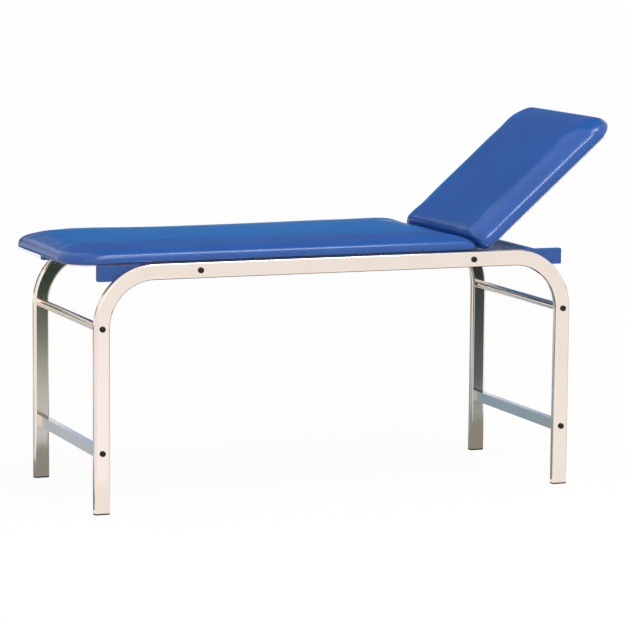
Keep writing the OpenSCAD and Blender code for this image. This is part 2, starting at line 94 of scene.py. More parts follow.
CHROME_NODES = (
    "side_frame_front", "side_frame_rear",
    "upper_crossbar_foot", "upper_crossbar_head", "lower_crossbar_foot", "lower_crossbar_head",
)
PLASTIC_NODES = ("bolt_caps", "foot_plugs")
RAIL_NODES = (
    "side_rail_front", "side_rail_rear",
    "cross_rail_foot", "cross_rail_middle", "cross_rail_hinge", "cross_rail_head",
)
STEEL_NODES = (
    "crossbar_inserts", "frame_bolts", "rail_tee_nuts", "rail_brackets", "bracket_screws",
    "main_board_screws", "hinge_brackets", "hinge_pins", "hinge_lugs", "rack_bars", "head_screws",
    "prop_brackets", "prop_arms", "prop_bar", "prop_pins",
)

# The camera's sensor in millimetres and its reach, and the colours of the floor and the even light
SENSOR_WIDTH = 36
CLIP_NEAR = 0.1
CLIP_FAR = 300
FLOOR_COLOUR = (0.82, 0.81, 0.79, 1)
AMBIENT_COLOUR = (1, 0.985, 0.96, 1)

# Length over which a card's glow can change
GLOW_REACH = 5.0

# Glowing cards that only polished surfaces see, painting the reflections and the shade in them: name,
# corner, two sides, the axis along which the glow changes, and its stops, each a place along that axis
# and a colour
PAINTED_REFLECTION_CARDS = (
    # back, high and top paint the blue sheen on the vinyl's tops and edges and the reflections above in
    # the chrome
    ("back", (-0.1, 3.2, 0.80), (3.5, 0, 0), (0, 0, 0.8), "Z", ((1.2, (0.060, 0.25, 0.55)),)),
    ("high", (-0.75, 3.2, 1.6), (4.15, 0, 0), (0, 0, 2.55), "Z",
        ((1.6, (0.060, 0.25, 0.50)), (2.2, (0.15, 0.17, 0.26)))),
    ("top", (-0.2, 0, 4.15), (4.0, 0, 0), (0, 3.2, 0), "Z", ((0, (0.10, 0.22, 0.40)),)),
    # dark and olive paint dark and olive reflections in the chrome
    ("dark", (-1.5, 3.2, 0.70), (1.4, 0, 0), (0, 0, 0.8), "Z", ((0, (0.038, 0.059, 0.082)),)),
    ("olive", (-1.06, 0.6, 0.53), (0.26, 0, 0), (0, 0, 0.13), "Z", ((0, (0.176, 0.192, 0.137)),)),
    # foot and head: sheets under the table's front edge, light near the floor and dark higher up, that
    # paint shade into the reflections of the legs and crossbars
    ("foot", (-0.66, -0.25, 0), (1.26, 0, 0), (0, 0, 0.64), "Z",
        ((0.04, (0.62, 0.70, 0.74)), (0.17, (0.52, 0.57, 0.51)), (0.33, (0.20, 0.24, 0.20)),
        (0.48, (0.031, 0.052, 0.041)))),
    ("head", (0.76, -0.25, 0), (0.30, 0, 0), (0, 0, 0.64), "Z",
        ((0.03, (0.38, 0.45, 0.46)), (0.12, (0.102, 0.14, 0.154)), (0.40, (0.047, 0.071, 0.078)),
        (0.55, (0.008, 0.014, 0.014)))),
    # under paints the shade beneath the table into reflections
    ("under", (-1.0, -0.25, 0.004), (2.3, 0, 0), (0, 0.8, 0), "Z", ((0, (0.28, 0.29, 0.26)),)),
    # floor_foot and floor_head paint coloured reflections of the floor behind the table in the chrome
    ("floor_foot", (-1.33, 0.55, 0.004), (0.95, 0, 0), (-1.75, 4.4, 0), "Y",
        ((1.4, (0.47, 0.56, 0.64)), (2.0, (0.68, 0.70, 0.66)), (4.0, (0.24, 0.26, 0.22)))),
    ("floor_head", (0.04, 0.55, 0.004), (0.62, 0, 0), (-1.75, 4.4, 0), "Y",
        ((1.3, (0.26, 0.39, 0.49)), (2.0, (0.33, 0.42, 0.47)), (4.0, (0.27, 0.31, 0.31)))),
    # floor_front paints a brighter than white reflection of the floor in front onto the front faces of
    # the near frame
    ("floor_front", (-0.85, -0.75, 0.004), (0.5, 0, 0), (1.31, -3.3, 0), "Z",
        ((0, (1.11, 1.12, 1.16)),)),
)

# Lights: name, place, target, two sides, the direction of the first side, and colour
LIGHTS = (
    ("strip", (0.62, -1.27, 3.33), (-0.2, -0.3, 0.72), (1.4, 0.55), (1, 0, 0), (1, 1, 1)),
    ("head_strip", (-0.10, -2.37, 2.91), (0.62, -0.29, 0.87), (0.8, 0.48),
        (0.755, 0, 0.656), (1, 1, 1)),
    ("front", (-2.6, -5.2, 2.2), (0, 0, 0.5), (3.0, 2.4), (2, -1, 0), (1, 0.985, 0.965)),
)


class ExamTableSizes(bpy.types.PropertyGroup):
    """Sizes of the upholstery"""

    pad_lift: FloatProperty(
        name="Pad lift", description="Height of a pad's flat bottom above its board's underside",
        default=0.5 * MM, min=0.2 * MM, max=8 * MM, unit="LENGTH")
    main_voxel: FloatProperty(
        name="Main pad mesh", description="Mesh size of the main pad before it is subdivided",
        default=9 * MM, min=6 * MM, max=14 * MM, unit="LENGTH")
    head_voxel: FloatProperty(
        name="Head pad mesh", description="Mesh size of the head pad before it is subdivided",
        default=8 * MM, min=6 * MM, max=14 * MM, unit="LENGTH")
    main_plump: FloatProperty(
        name="Main pad plump",
        description="How much fuller the main pad starts, because its cover draws in",
        default=1.5 * MM, min=0, max=8 * MM, unit="LENGTH")
    head_plump: FloatProperty(
        name="Head pad plump",
        description="How much fuller the head pad starts, because its cover draws in",
        default=4 * MM, min=0, max=8 * MM, unit="LENGTH")
    swell: FloatProperty(
        name="Swell", description="The most that the foam pushes any point of the cover out",
        default=6 * MM, min=0, max=12 * MM, unit="LENGTH")
    foam_pressure: FloatProperty(
        name="Foam pressure", description="Pressure of the foam on its cover",
        default=6, min=0, max=10)
    foam_steps: IntProperty(
        name="Foam steps", description="Steps over which the foam fills the cover",
        default=20, min=5, max=60)
    hem_thickness: FloatProperty(
        name="Hem thickness", description="Thickness of the cover's lower edge",
        default=0.3 * MM, min=0.1 * MM, max=0.4 * MM, unit="LENGTH")
    staple_spacing: FloatProperty(
        name="Staple spacing", description="Distance between the staples along a lower edge",
        default=38 * MM, min=20 * MM, max=80 * MM, unit="LENGTH")
    staple_length: FloatProperty(
        name="Staple length", description="Length of a staple's crown",
        default=10 * MM, min=6 * MM, max=14 * MM, unit="LENGTH")


class ExamTableColours(bpy.types.PropertyGroup):
    """Colours of the finishes"""

    vinyl: FloatVectorProperty(
        name="Vinyl", description="Colour of the vinyl cover",
        default=(0.012, 0.070, 0.285), min=0, max=1, subtype="COLOR")
    # The chrome tint's brightness is the plate's own; its warm cream cast is a painted reflection of the
    # surroundings
    chrome: FloatVectorProperty(
        name="Chrome", description="Tint of the chrome plate",
        default=(0.87, 0.765, 0.68), min=0, max=1, subtype="COLOR")
    steel: FloatVectorProperty(
        name="Zinc", description="Tint of the zinc-plated steel",
        default=(0.56, 0.57, 0.58), min=0, max=1, subtype="COLOR")
    birch: FloatVectorProperty(
        name="Birch", description="Colour of the light plies of the boards",
        default=(0.56, 0.37, 0.19), min=0, max=1, subtype="COLOR")
    birch_dark: FloatVectorProperty(
        name="Birch grain", description="Colour of the dark plies and the grain",
        default=(0.33, 0.19, 0.085), min=0, max=1, subtype="COLOR")
    plastic: FloatVectorProperty(
        name="Plastic", description="Colour of the caps and the foot plugs",
        default=(0.0045, 0.0045, 0.005), min=0, max=1, subtype="COLOR")


class ExamTableStage(bpy.types.PropertyGroup):
    """Camera, lights and floor"""

    camera_place: FloatVectorProperty(
        name="Camera place", description="Place of the camera",
        default=(-3.301503, -8.3884, 1.7252), subtype="XYZ", unit="LENGTH")
    camera_yaw: FloatProperty(
        name="Yaw", description="Turn of the view to the right of the table's cross direction",
        default=0.3752, subtype="ANGLE")
    camera_pitch: FloatProperty(
        name="Pitch", description="Tilt of the view down from the level",
        default=0.1359, subtype="ANGLE")
    camera_roll: FloatProperty(
        name="Roll", description="Turn of the picture about the view",
        default=0.008, subtype="ANGLE")
    lens: FloatProperty(name="Lens", description="Focal length in millimetres", default=180.383, min=50)
    floor_half: FloatProperty(
        name="Floor reach", description="Distance from the middle of the floor to its edges",
        default=60, min=5, unit="LENGTH")
    floor_white: FloatProperty(
        name="Floor white", description="Share of plain white in the floor that is seen directly",
        default=0.92, min=0, max=1, subtype="FACTOR")
    ambient: FloatProperty(
        name="Ambient", description="Strength of the even light from all round",
        default=0.98, min=0, max=2)
    strip_power: FloatProperty(
        name="Strip light",
        description="Power of the long narrow light above the table's front edge in watts",
        default=30, min=0)
    head_strip_power: FloatProperty(
        name="Head strip light",
        description="Power of the short narrow light before the headrest in watts",
        default=21, min=0)
    front_power: FloatProperty(
        name="Front light", description="Power of the large light in front in watts",
        default=15, min=0)


class ExamTableSettings(bpy.types.PropertyGroup):
    """All settings of the examination table"""

    sizes: PointerProperty(type=ExamTableSizes)
    colours: PointerProperty(type=ExamTableColours)
    stage: PointerProperty(type=ExamTableStage)


# Finishes


def blank_tree(owner):
    """The emptied node tree of a material or a world."""
    owner.use_nodes = True
    owner.node_tree.nodes.clear()
    return owner.node_tree


class Finish:
    """A material on Principled BSDF, with helpers that add and join its nodes."""

    def __init__(self, name, mapping_turn=0.0):
        self.material = bpy.data.materials.new(name)
        self.tree = blank_tree(self.material)
        output = self.tree.nodes.new("ShaderNodeOutputMaterial")
        self.shader = self.tree.nodes.new("ShaderNodeBsdfPrincipled")
        self.tree.links.new(self.shader.outputs[0], output.inputs["Surface"])
        self.place = self.add("TexCoord").outputs["Object"]
        if mapping_turn:
            turned = self.add("Mapping", Vector=self.place, Rotation=(0, mapping_turn, 0))
            self.place = turned.outputs[0]

    def add(self, kind, **sockets):
        """Adds a node and sets or joins its input sockets by name."""
        node = self.tree.nodes.new("ShaderNode" + kind)
        for name, value in sockets.items():
            self.join(node, name.replace("_", " "), value)
        return node

    def join(self, node, name, value):
        """Sets an input socket to a value, or joins it to another node's output."""
        if isinstance(value, bpy.types.NodeSocket):
            self.tree.links.new(value, node.inputs[name])
        else:
            node.inputs[name].default_value = value

    def surface(self, **sockets):
        """Sets or joins the shader's own sockets."""
        for name, value in sockets.items():
            self.join(self.shader, name.replace("_", " "), value)

    def stretched(self, scale):
        """The place, scaled along each axis."""
        return self.add("Mapping", Vector=self.place, Scale=scale).outputs[0]

    def noise(self, scale, detail=2.0, roughness=0.5, distortion=0.0, place=None):
        """Soft noise, from 0 to 1."""
        node = self.add(
            "TexNoise", Vector=place or self.place, Scale=scale, Detail=detail,
            Roughness=roughness, Distortion=distortion)
        return node.outputs[0]

    def ramp(self, fac, *stops):
        """Colours by position: each stop is a position and a colour or a grey."""
        node = self.add("ValToRGB", Fac=fac)
        elements = node.color_ramp.elements
        while len(elements) < len(stops):
            elements.new(1.0)
        for element, (position, colour) in zip(elements, stops):
            element.position = position
            if isinstance(colour, (int, float)):
                colour = (colour, colour, colour)
            element.color = (*colour, 1.0)
        return node.outputs[0]

    def span(self, value, low, high, from_low=0.0, from_high=1.0):
        """Carries a value from one range to another."""
        node = self.add("MapRange", Value=value)
        for name, number in (
            ("From Min", from_low), ("From Max", from_high), ("To Min", low), ("To Max", high)
        ):
            node.inputs[name].default_value = number
        return node.outputs[0]

    def maths(self, operation, a, b):
        """One operation on two values, each a number or another node's output."""
        node = self.add("Math")
        node.operation = operation
        for socket, value in zip(node.inputs, (a, b)):
            if isinstance(value, bpy.types.NodeSocket):
                self.tree.links.new(value, socket)
            else:
                socket.default_value = value
        return node.outputs[0]

    def bump(self, height, strength, distance, under=None):
        """Relief from a height, laid over another relief if there is one."""
        node = self.add("Bump", Height=height, Strength=strength, Distance=distance)
        if under is not None:
            self.tree.links.new(under, node.inputs["Normal"])
        return node.outputs[0]


def shade(colour, factor):
    """A colour made darker or lighter."""
    return tuple(min(1.0, channel * factor) for channel in colour)


def vinyl_finish(name, colour, turn=0.0):
    """Smooth semi-gloss vinyl with a fine leather grain and faint clouding."""
    f = Finish(name, turn)
    clouds = f.noise(5.5, detail=3, roughness=0.55)
    f.surface(
        Base_Color=f.ramp(clouds, (0.30, shade(colour, 0.93)), (0.72, shade(colour, 1.08))),
        Roughness=f.span(f.noise(38, detail=2), 0.19, 0.24, 0.3, 0.7),
        Specular_IOR_Level=0.42,
    )
    cells = f.add("TexVoronoi", Vector=f.place, Scale=620.0)
    cells.feature = "DISTANCE_TO_EDGE"
    grain = f.bump(f.span(cells.outputs["Distance"], 0, 1, 0, 0.25), 0.06, 0.2 * MM)
    waves = f.bump(f.noise(13, detail=1), 0.06, 2 * MM, under=grain)
    f.surface(Normal=waves)
    return f.material


def chrome_finish(name, colour):
    """Chrome plate on drawn tube, with hairline polishing marks; the warm cream cast of its given colour
    is a painted reflection.
    """
    f = Finish(name)
    haze = f.noise(7, detail=3)
    hairlines = f.noise(90, detail=2, place=f.stretched((1, 1, 14)))
    f.surface(
        Base_Color=f.ramp(haze, (0.30, shade(colour, 0.975)), (0.70, shade(colour, 1.02))),
        Metallic=1.0,
        Roughness=f.span(f.maths("MULTIPLY", haze, hairlines), 0.10, 0.20, 0.12, 0.40),
    )
    f.surface(Normal=f.bump(f.noise(22, detail=1), 0.05, 1 * MM))
    return f.material


def steel_finish(name, colour):
    """Zinc plate with a dull bloom and rubbed spots."""
    f = Finish(name)
    bloom = f.noise(60, detail=4, roughness=0.6)
    f.surface(
        Base_Color=f.ramp(bloom, (0.32, shade(colour, 0.78)), (0.55, colour), (0.75, shade(colour, 1.2))),
        Metallic=1.0,
        Roughness=f.span(bloom, 0.28, 0.48, 0.3, 0.7),
        Normal=f.bump(f.noise(900, detail=2), 0.12, 0.1 * MM),
    )
    return f.material


def plastic_finish(name, colour):
    """Moulded black plastic with a spark-eroded grain."""
    f = Finish(name)
    grain = f.noise(1400, detail=2)
    dust = f.noise(70, detail=3)
    f.surface(
        Base_Color=f.ramp(dust, (0.35, colour), (0.75, shade(colour, 1.9))),
        Roughness=f.span(dust, 0.55, 0.70, 0.3, 0.7),
        Specular_IOR_Level=0.3,
        Normal=f.bump(grain, 0.25, 0.08 * MM),
    )
    return f.material


def plywood_finish(name, light, dark, turn=0.0):
    """Birch plywood: long grain on the faces and thin dark and light plies on the edges."""
    f = Finish(name, turn)
    plies = f.add("TexWave", Vector=f.place, Scale=105.0, Distortion=0.0)
    plies.bands_direction = "Z"
    grain = f.noise(30, detail=5, roughness=0.6, distortion=0.6, place=f.stretched((1, 9, 9)))
    figure = f.noise(5, detail=2, distortion=1.2, place=f.stretched((1, 3.5, 3.5)))
    mixed = f.maths("ADD", f.maths("MULTIPLY", grain, 0.45), f.maths("MULTIPLY", figure, 0.3))
    mixed = f.maths("ADD", mixed, f.maths("MULTIPLY", plies.outputs["Fac"], 0.25))
    f.surface(
        Base_Color=f.ramp(mixed, (0.32, dark), (0.52, shade(light, 0.92)), (0.74, shade(light, 1.15))),
        Roughness=f.span(grain, 0.52, 0.72, 0.3, 0.7),
        Normal=f.bump(grain, 0.35, 0.25 * MM),
    )
    return f.material


def give(obj, material):
    """Gives a piece its one material."""
    obj.data.materials.clear()
    obj.data.materials.append(material)


def give_nodes(names, material):
    """Gives several CAD nodes one material."""
    for name in names:
        give(NODES[name], material)


# Mesh helpers


def add_object(name, data):
    """Links new data to the scene as an object at the origin."""
    obj = bpy.data.objects.new(name, data)
    bpy.context.scene.collection.objects.link(obj)
    return obj


def add_mesh(name, bm):
    """Turns a bmesh into an object."""
    mesh = bpy.data.meshes.new(name)
    bm.to_mesh(mesh)
    bm.free()
    return add_object(name, mesh)


def new_piece(name, bm, material, body):
    """Turns a bmesh into a finished piece that rides on a body."""
    obj = add_mesh(name, bm)
    give(obj, material)
    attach(obj, body)


def flat_box(node, flat):
    """Lowest and highest corners of a CAD node in a flat frame."""
    corners = [flat @ v.co for v in NODES[node].data.vertices]
    low = Vector([min(c[i] for c in corners) for i in range(3)])
    high = Vector([max(c[i] for c in corners) for i in range(3)])
    return low, high


def parted(bm):
    """Lists the connected islands of a bmesh as lists of vertices, in the mesh's own order."""
    seen = set()
    islands = []
    for seed in bm.verts:
        if seed in seen:
            continue
        seen.add(seed)
        island, edge = [seed], [seed]
        while edge:
            vert = edge.pop()
            for link in vert.link_edges:
                other = link.other_vert(vert)
                if other not in seen:
                    seen.add(other)
                    island.append(other)
                    edge.append(other)
        islands.append(island)
    return islands


def pad_skin(node, flat, cut_z):
    """The outer skin of a pad's solid above a level, open below, in its flat frame."""
    bm = bmesh.new()
    bm.from_mesh(NODES[node].data)
    bm.transform(flat)
    bmesh.ops.remove_doubles(bm, verts=bm.verts, dist=MERGE)
    geometry = list(bm.verts) + list(bm.edges) + list(bm.faces)
    bmesh.ops.bisect_plane(
        bm, geom=geometry, dist=MERGE, plane_co=(0, 0, cut_z), plane_no=(0, 0, -1), clear_outer=True)
    islands = parted(bm)
    keep = max(islands, key=lambda island: max(v.co.z for v in island))
    inner = [v for island in islands if island is not keep for v in island]
    bmesh.ops.delete(bm, geom=inner, context="VERTS")
    return bm


def rim_loop(bm):
    """The open rim of a skin, in order, from the first rim edge of the mesh."""
    edges = [e for e in bm.edges if e.is_boundary]
    first = edges[0]
    loop, vert = [first.verts[0]], first.verts[1]
    edges.remove(first)
    while vert is not loop[0]:
        loop.append(vert)
        edge = next(e for e in vert.link_edges if e in edges)
        edges.remove(edge)
        vert = edge.other_vert(vert)
    return [v.co.copy() for v in loop]


def smooth_step(value):
    """A soft rise from 0 to 1."""
    value = min(1.0, max(0.0, value))
    return value * value * (3 - 2 * value)


def bake_modifiers(obj):
    """Applies an object's modifiers to its mesh."""
    depsgraph = bpy.context.evaluated_depsgraph_get()
    mesh = bpy.data.meshes.new_from_object(obj.evaluated_get(depsgraph), depsgraph=depsgraph)
    old = obj.data
    obj.modifiers.clear()
    obj.data = mesh
    bpy.data.meshes.remove(old)


def subdivide(obj, levels):
    """Rounds a mesh by subdivision, applied."""
    modifier = obj.modifiers.new("Smooth", "SUBSURF")
    modifier.levels = modifier.render_levels = levels
    bake_modifiers(obj)


def close_pad(name, bm):
    """A pad's skin closed below with a sharp rim, joined to quads and rounded."""
    rim = [e for e in bm.edges if e.is_boundary]
    bmesh.ops.holes_fill(bm, edges=rim)
    triangles = [f for f in bm.faces if len(f.verts) == 3]
    bmesh.ops.join_triangles(
        bm, faces=triangles, angle_face_threshold=QUAD_FOLD, angle_shape_threshold=QUAD_FOLD)
    bmesh.ops.recalc_face_normals(bm, faces=bm.faces)
    crease = bm.edges.layers.float.new("crease_edge")
    for edge in rim:
        if edge.is_valid:
            edge[crease] = 1.0
    obj = add_mesh(name, bm)
    subdivide(obj, SKIN_ROUNDING)
    return obj


def even_mesh(obj, voxel, bottom_z):
    """Gives a closed pad an even mesh that lies exactly on its rounded surface."""
    bm = bmesh.new()
    bm.from_mesh(obj.data)
    surface = BVHTree.FromBMesh(bm)
    bm.free()
    remesh = obj.modifiers.new("Remesh", "REMESH")
    remesh.mode = "VOXEL"
    remesh.voxel_size = voxel
    bake_modifiers(obj)
    for vertex in obj.data.vertices:
        vertex.co = surface.find_nearest(vertex.co)[0]
        vertex.co.z = max(vertex.co.z, bottom_z)
    obj.data.update()


def plump_up(obj, plump, bottom_z):
    """Makes a pad a little fuller all round but its flat bottom."""
    normals = [v.normal.copy() for v in obj.data.vertices]
    for vertex, normal in zip(obj.data.vertices, normals):
        height = vertex.co.z - bottom_z
        if height > MERGE:
            vertex.co += normal * plump * smooth_step(height / PLUMP_REACH)


def spread(obj, moves, rounds):
    """Evens out the moves of a mesh's points over their neighbours."""
    links = [[] for _ in moves]
    for edge in obj.data.edges:
        a, b = edge.vertices
        links[a].append(b)
        links[b].append(a)
    for _ in range(rounds):
        moves = [
            (move + sum((moves[i] for i in near), Vector())) / (1 + len(near))
            for move, near in zip(moves, links)
        ]
    return moves


def inflate(obj, sizes, bottom_z, voxel):
    """Fills the cover with foam: cloth under pressure, its flat bottom held, and every move capped."""
    start = [v.co.copy() for v in obj.data.vertices]
    held = obj.vertex_groups.new(name="held")
    low = [v.index for v in obj.data.vertices if v.co.z < bottom_z + CLOTH_HELD * voxel]
    held.add(low, 1.0, "REPLACE")
    cloth = obj.modifiers.new("Foam", "CLOTH")
    cloth.settings.quality = CLOTH_QUALITY
    cloth.settings.mass = CLOTH_MASS
    cloth.settings.tension_stiffness = CLOTH_STRETCH
    cloth.settings.compression_stiffness = CLOTH_STRETCH
    cloth.settings.shear_stiffness = CLOTH_SHEAR
    cloth.settings.bending_stiffness = CLOTH_BEND
    cloth.settings.use_pressure = True
    cloth.settings.uniform_pressure_force = sizes.foam_pressure
    cloth.settings.vertex_group_mass = "held"
    cloth.settings.effector_weights.gravity = 0
    cloth.point_cache.frame_start = 1
    cloth.point_cache.frame_end = sizes.foam_steps
    scene = bpy.context.scene
    for step in range(1, sizes.foam_steps + 1):
        scene.frame_set(step)
    bake_modifiers(obj)
    scene.frame_set(1)
    obj.vertex_groups.clear()
    moves = []
    for vertex, before in zip(obj.data.vertices, start):
        move = vertex.co - before
        if move.length > sizes.swell:
            move *= sizes.swell / move.length
        moves.append(move)
    moves = spread(obj, moves, EVENING_ROUNDS)
    for vertex, before, move in zip(obj.data.vertices, start, moves):
        vertex.co = before + move
        vertex.co.z = max(vertex.co.z, bottom_z)


def build_pad(name, node, board, flat, body, voxel, plump, material):
    """One upholstered pad, from its CAD solid to its finished cover."""
    sizes = bpy.context.scene.exam_table.sizes
    bottom_z = flat_box(board, flat)[0].z + sizes.pad_lift
    obj = close_pad(name, pad_skin(node, flat, bottom_z))
    even_mesh(obj, voxel, bottom_z)
    plump_up(obj, plump, bottom_z)
    inflate(obj, sizes, bottom_z, voxel)
    subdivide(obj, COVER_ROUNDING)
    obj.data.shade_smooth()
    obj.data.transform(flat.inverted())
    give(obj, material)
    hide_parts(node)
    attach(obj, body)


def build_hem(name, node, board, flat, body, material, steel):
    """The cover's thin lower edge, from its flat bottom to its board's underside, and its staples."""
    sizes = bpy.context.scene.exam_table.sizes
    floor_z = flat_box(board, flat)[0].z
    rim = rim_loop(pad_skin(node, flat, floor_z + sizes.pad_lift))
    bm = bmesh.new()
    lower = [bm.verts.new((p.x, p.y, floor_z)) for p in rim]
    face = bm.faces.new(lower)
    face.normal_update()
    if face.normal.z > 0:
        face.normal_flip()
    rim_edges = list(face.edges)
    stapled = [v.co.copy() for v in face.verts]
    bmesh.ops.delete(bm, geom=[face], context="FACES_ONLY")
    skirt = bmesh.ops.extrude_edge_only(bm, edges=rim_edges)
    raised = [g for g in skirt["geom"] if isinstance(g, bmesh.types.BMVert)]
    bmesh.ops.translate(bm, verts=raised, vec=(0, 0, sizes.pad_lift))
    bmesh.ops.recalc_face_normals(bm, faces=bm.faces)
    bmesh.ops.solidify(bm, geom=list(bm.faces), thickness=-sizes.hem_thickness)
    bmesh.ops.recalc_face_normals(bm, faces=bm.faces)
    bm.transform(flat.inverted())
    new_piece(name + "_hem", bm, material, body)
    staples = staple_row(stapled, floor_z, sizes)
    staples.transform(flat.inverted())
    new_piece(name + "_staples", staples, steel, body)


def staple_row(loop, floor_z, sizes):
    """Staples along a closed line, each crown lying along it."""
    bm = bmesh.new()
    travelled, due = 0.0, 0.0
    for a, b in zip(loop, loop[1:] + loop[:1]):
        step = (b - a).length
        while due < travelled + step:
            point = a.lerp(b, (due - travelled) / step)
            turn = math.atan2(b.y - a.y, b.x - a.x)
            place = (
                Matrix.Translation((point.x, point.y, floor_z - sizes.hem_thickness))
                @ Matrix.Rotation(turn, 4, "Z")
                @ Matrix.Diagonal((sizes.staple_length, STAPLE_WIDTH, STAPLE_HEIGHT, 1))
            )
            bmesh.ops.create_cube(bm, size=1.0, matrix=place)
            due += sizes.staple_spacing
        travelled += step
    return bm


# Operators


class EXAMTABLE_OT_chrome_frames(bpy.types.Operator):
    """Plate the side frames and crossbars with chrome"""

    bl_idname = "examtable.chrome_frames"
    bl_label = "Chrome Frames"

    def execute(self, context):
        colours = context.scene.exam_table.colours
        give_nodes(CHROME_NODES, chrome_finish("chrome_plate", colours.chrome))
        return {"FINISHED"}


class EXAMTABLE_OT_steel_hardware(bpy.types.Operator):
    """Zinc-plate the bolts, brackets, hinges, rack and prop"""

    bl_idname = "examtable.steel_hardware"
    bl_label = "Steel Hardware"

    def execute(self, context):
        colours = context.scene.exam_table.colours
        give_nodes(STEEL_NODES, steel_finish("zinc_plate", colours.steel))
        return {"FINISHED"}


class EXAMTABLE_OT_black_plastic(bpy.types.Operator):
    """Finish the bolt caps and foot plugs in black plastic"""

    bl_idname = "examtable.black_plastic"
    bl_label = "Caps and Plugs"

    def execute(self, context):
        colours = context.scene.exam_table.colours
        give_nodes(PLASTIC_NODES, plastic_finish("black_plastic", colours.plastic))
        return {"FINISHED"}


class EXAMTABLE_OT_covered_rails(bpy.types.Operator):
    """Cover the timber rails with vinyl"""

    bl_idname = "examtable.covered_rails"
    bl_label = "Covered Rails"

    def execute(self, context):
        colours = context.scene.exam_table.colours
        give_nodes(RAIL_NODES, vinyl_finish("rail_vinyl", shade(colours.vinyl, 0.95)))
        return {"FINISHED"}


class EXAMTABLE_OT_boards(bpy.types.Operator):
    """Finish the plywood boards under the pads"""

    bl_idname = "examtable.boards"
    bl_label = "Plywood Boards"

    def execute(self, context):
        colours = context.scene.exam_table.colours
        give(NODES["main_board"], plywood_finish("main_plywood", colours.birch, colours.birch_dark))
        give(
            NODES["head_board"],
            plywood_finish("head_plywood", colours.birch, colours.birch_dark, HEAD_ANGLE))
        return {"FINISHED"}


class EXAMTABLE_OT_main_pad(bpy.types.Operator):
    """Upholster the main pad"""

    bl_idname = "examtable.main_pad"
    bl_label = "Main Pad"

    def execute(self, context):
        settings = context.scene.exam_table
        material = vinyl_finish("main_vinyl", settings.colours.vinyl)
        build_pad(
            "main_cushion", "main_pad", "main_board", MAIN_FLAT, "base",
            settings.sizes.main_voxel, settings.sizes.main_plump, material)
        return {"FINISHED"}


class EXAMTABLE_OT_head_pad(bpy.types.Operator):
    """Upholster the head pad"""

    bl_idname = "examtable.head_pad"
    bl_label = "Head Pad"

    def execute(self, context):
        settings = context.scene.exam_table
        material = vinyl_finish("head_vinyl", settings.colours.vinyl, HEAD_ANGLE)
        build_pad(
            "head_cushion", "head_pad", "head_board", HEAD_FLAT, "headrest",
            settings.sizes.head_voxel, settings.sizes.head_plump, material)
        return {"FINISHED"}


class EXAMTABLE_OT_hems(bpy.types.Operator):
    """Add the covers' thin lower edges and their staples"""

    bl_idname = "examtable.hems"
    bl_label = "Cover Edges"

    def execute(self, context):
        colours = context.scene.exam_table.colours
        vinyl = vinyl_finish("hem_vinyl", shade(colours.vinyl, 0.9))
        steel = steel_finish("staple_steel", colours.steel)
        build_hem("main_cover", "main_pad", "main_board", MAIN_FLAT, "base", vinyl, steel)
        build_hem("head_cover", "head_pad", "head_board", HEAD_FLAT, "headrest", vinyl, steel)
        return {"FINISHED"}


def seen_directly(tree):
    """1 for camera, glossy and transmission rays, else 0."""
    path = tree.nodes.new("ShaderNodeLightPath")
    value = path.outputs["Is Camera Ray"]
    for other in ("Is Glossy Ray", "Is Transmission Ray"):
        node = tree.nodes.new("ShaderNodeMath")
        node.operation = "MAXIMUM"
        tree.links.new(value, node.inputs[0])
        tree.links.new(path.outputs[other], node.inputs[1])
        value = node.outputs[0]
    return value


def panel(name, corner, across, up, material):
    """A flat sheet from a corner and its two sides."""
    bm = bmesh.new()
    corner, across, up = Vector(corner), Vector(across), Vector(up)
    middle = corner + (across + up) / 2
    place = Matrix.Translation(middle) @ Matrix(
        ((across.x, up.x, 0, 0), (across.y, up.y, 0, 0), (across.z, up.z, 1, 0), (0, 0, 0, 1)))
    bmesh.ops.create_grid(bm, x_segments=1, y_segments=1, size=0.5, matrix=place)
    obj = add_mesh(name, bm)
    obj.data.materials.append(material)
    return obj


def only_in_reflections(obj):
    """A glowing card that paints reflections and the shade in them: it is seen in polished surfaces and
    nowhere else.
    """
    obj.visible_camera = False
    obj.visible_diffuse = False
    obj.visible_shadow = False
    obj.visible_transmission = False
    obj.visible_volume_scatter = False


def glow_material(name, axis, *stops):
    """A card's glow, which paints reflections: each stop is a place along the axis and the colour there.
    """
    material = bpy.data.materials.new(name)
    tree = blank_tree(material)
    output = tree.nodes.new("ShaderNodeOutputMaterial")
    glow = tree.nodes.new("ShaderNodeEmission")
    glow.inputs["Strength"].default_value = 1
    place = tree.nodes.new("ShaderNodeTexCoord")
    parts = tree.nodes.new("ShaderNodeSeparateXYZ")
    ramp = tree.nodes.new("ShaderNodeValToRGB")
    share = tree.nodes.new("ShaderNodeMath")
    share.operation = "DIVIDE"
    share.inputs[1].default_value = GLOW_REACH
    tree.links.new(place.outputs["Object"], parts.inputs[0])
    tree.links.new(parts.outputs[axis], share.inputs[0])
    tree.links.new(share.outputs[0], ramp.inputs["Fac"])
    elements = ramp.color_ramp.elements
    while len(elements) > len(stops):
        elements.remove(elements[-1])
    while len(elements) < len(stops):
        elements.new(1.0)
    for element, (at, colour) in zip(elements, stops):
        element.position = at / GLOW_REACH
        element.color = (*colour, 1)
    tree.links.new(ramp.outputs[0], glow.inputs["Color"])
    tree.links.new(glow.outputs[0], output.inputs["Surface"])
    return material


